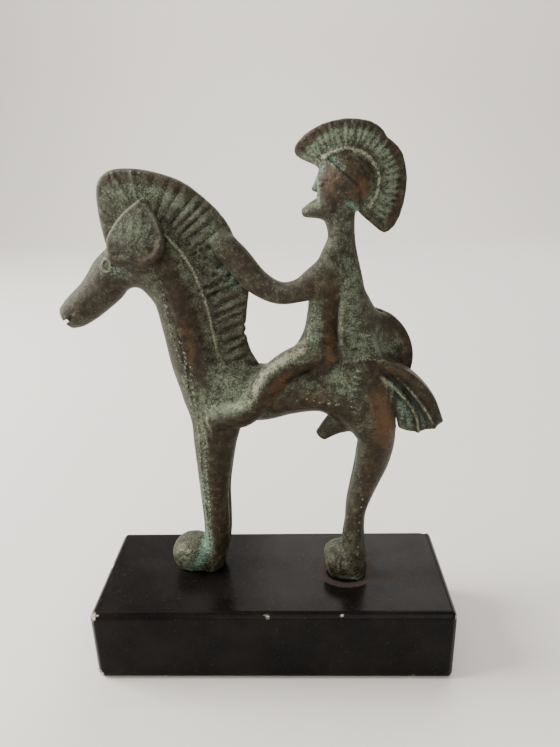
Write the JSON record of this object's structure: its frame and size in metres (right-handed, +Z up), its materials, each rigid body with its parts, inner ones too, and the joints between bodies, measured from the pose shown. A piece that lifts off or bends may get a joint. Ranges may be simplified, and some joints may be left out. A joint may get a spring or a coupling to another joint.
{
  "type": "mounted warrior statuette",
  "caption": "Stylised cast bronze horse with a crested-helmet rider, a round shield and a fluted tail, standing on a black chamfered stone plinth.",
  "frame": {"origin": "middle of the plinth's underside, at the level of what it stands on", "axes": "+X along the horse towards its tail, +Y away from the side that is seen first, +Z up"},
  "size_m": [0.1251, 0.046, 0.1757],
  "materials": {
    "bronze": "dark brown patinated bronze with reddish worn ridges and grey-green verdigris in the recesses",
    "black_stone": "satin polished black stone with lighter ground chamfers"
  },
  "bodies": {
    "root": {"horse_and_rider": "bronze", "plinth": "black_stone"}
  },
  "joints": []
}
